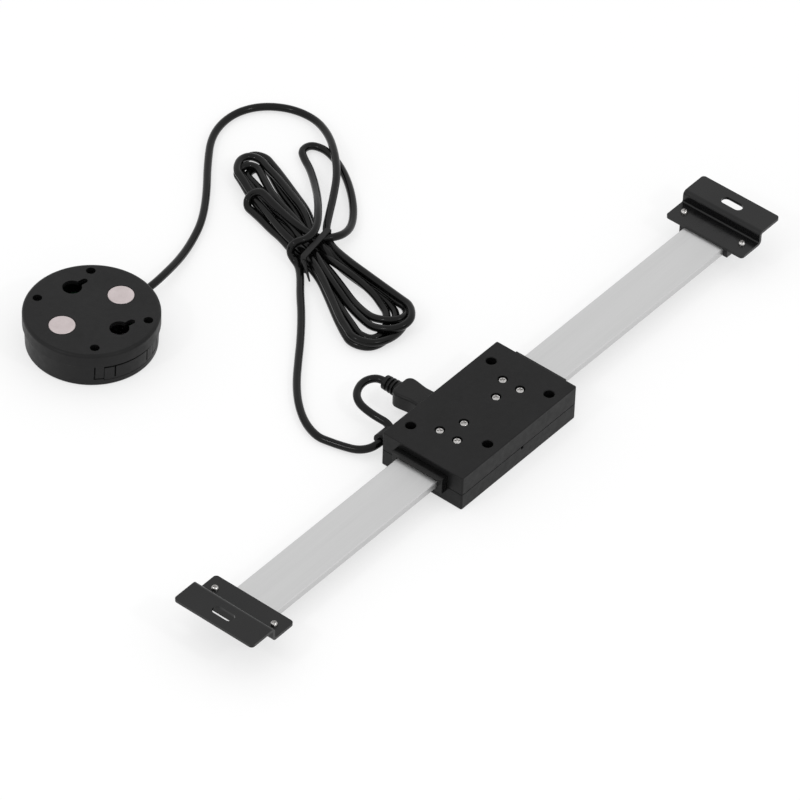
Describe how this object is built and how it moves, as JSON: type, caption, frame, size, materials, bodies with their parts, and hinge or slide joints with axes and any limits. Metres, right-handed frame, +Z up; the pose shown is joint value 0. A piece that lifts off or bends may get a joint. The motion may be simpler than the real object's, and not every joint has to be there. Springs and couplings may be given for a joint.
{
  "type": "digital linear scale",
  "caption": "Digital linear scale: reading head sliding on an aluminium beam between slotted end brackets, with a corded round display that has magnets and keyholes in its back.",
  "frame": {"origin": "middle of the reading head's base, on the table", "axes": "+X along the beam, +Y to the side of the head that the cord plugs into, +Z up out of the head's roof"},
  "size_m": [0.3369, 0.2279, 0.0184],
  "materials": {
    "head_case": "fine matt texture",
    "guide_plastic": "matt",
    "screw_nickel": "nickel plated",
    "screw_black": "black zinc",
    "board": "solder mask",
    "socket_metal": "plated sheet",
    "overmould": "satin moulded",
    "beam_aluminium": "satin anodised",
    "strip": "matt",
    "bracket_paint": "satin black",
    "display_case": "fine matt texture",
    "magnet": "nickel plated",
    "pane": "clear",
    "panel": "grey-green liquid crystal",
    "button": "matt",
    "cell": "bright",
    "cord": "satin jacket",
    "tie": "twisted strip"
  },
  "bodies": {
    "reading_head": {"head_upper_case": "head_case", "head_lower_case": "head_case", "slide_guide_near": "guide_plastic", "slide_guide_far": "guide_plastic", "guide_screws": "screw_nickel", "sensor_board": "board", "plug_socket": "socket_metal", "cable_clip": "guide_plastic", "plug_body": "overmould", "plug_shell": "socket_metal", "display_back_cover": "display_case", "display_front_case": "display_case", "display_screws": "screw_black", "display_magnets": "magnet", "display_window": "pane", "crystal_panel": "panel", "display_board": "board", "cord_gland": "overmould", "cord_display_lead": "cord", "cord_side_loop": "cord", "cord_head_lead": "cord", "cord_hank": "cord", "cable_tie": "tie"},
    "beam": {"beam": "beam_aluminium", "scale_strip": "strip", "bracket_near": "bracket_paint", "bracket_far": "bracket_paint", "end_block_near": "guide_plastic", "end_block_far": "guide_plastic", "bracket_screws": "screw_nickel"},
    "battery_tray": {"battery_tray": "display_case", "coin_cell": "cell"},
    "button_1": {"button_1": "button"},
    "button_2": {"button_2": "button"},
    "button_3": {"button_3": "button"},
    "button_4": {"button_4": "button"}
  },
  "joints": [
    {"name": "beam_slide", "type": "slide", "parent": "reading_head", "child": "beam", "axis": [1, 0, 0], "range_m": [-0.1074, 0.0989]},
    {"name": "battery_tray_slide", "type": "slide", "parent": "reading_head", "child": "battery_tray", "axis": [-0.1908, -0.9816, 0], "range_m": [0, 0.022]},
    {"name": "button_1_press", "type": "slide", "parent": "reading_head", "child": "button_1", "axis": [0, 0, 1], "range_m": [0, 0.0005], "stiffness_N_per_m": 1500, "springref_m": -0.0002},
    {"name": "button_2_press", "type": "slide", "parent": "reading_head", "child": "button_2", "axis": [0, 0, 1], "range_m": [0, 0.0005], "stiffness_N_per_m": 1500, "springref_m": -0.0002},
    {"name": "button_3_press", "type": "slide", "parent": "reading_head", "child": "button_3", "axis": [0, 0, 1], "range_m": [0, 0.0005], "stiffness_N_per_m": 1500, "springref_m": -0.0002},
    {"name": "button_4_press", "type": "slide", "parent": "reading_head", "child": "button_4", "axis": [0, 0, 1], "range_m": [0, 0.0005], "stiffness_N_per_m": 1500, "springref_m": -0.0002}
  ]
}
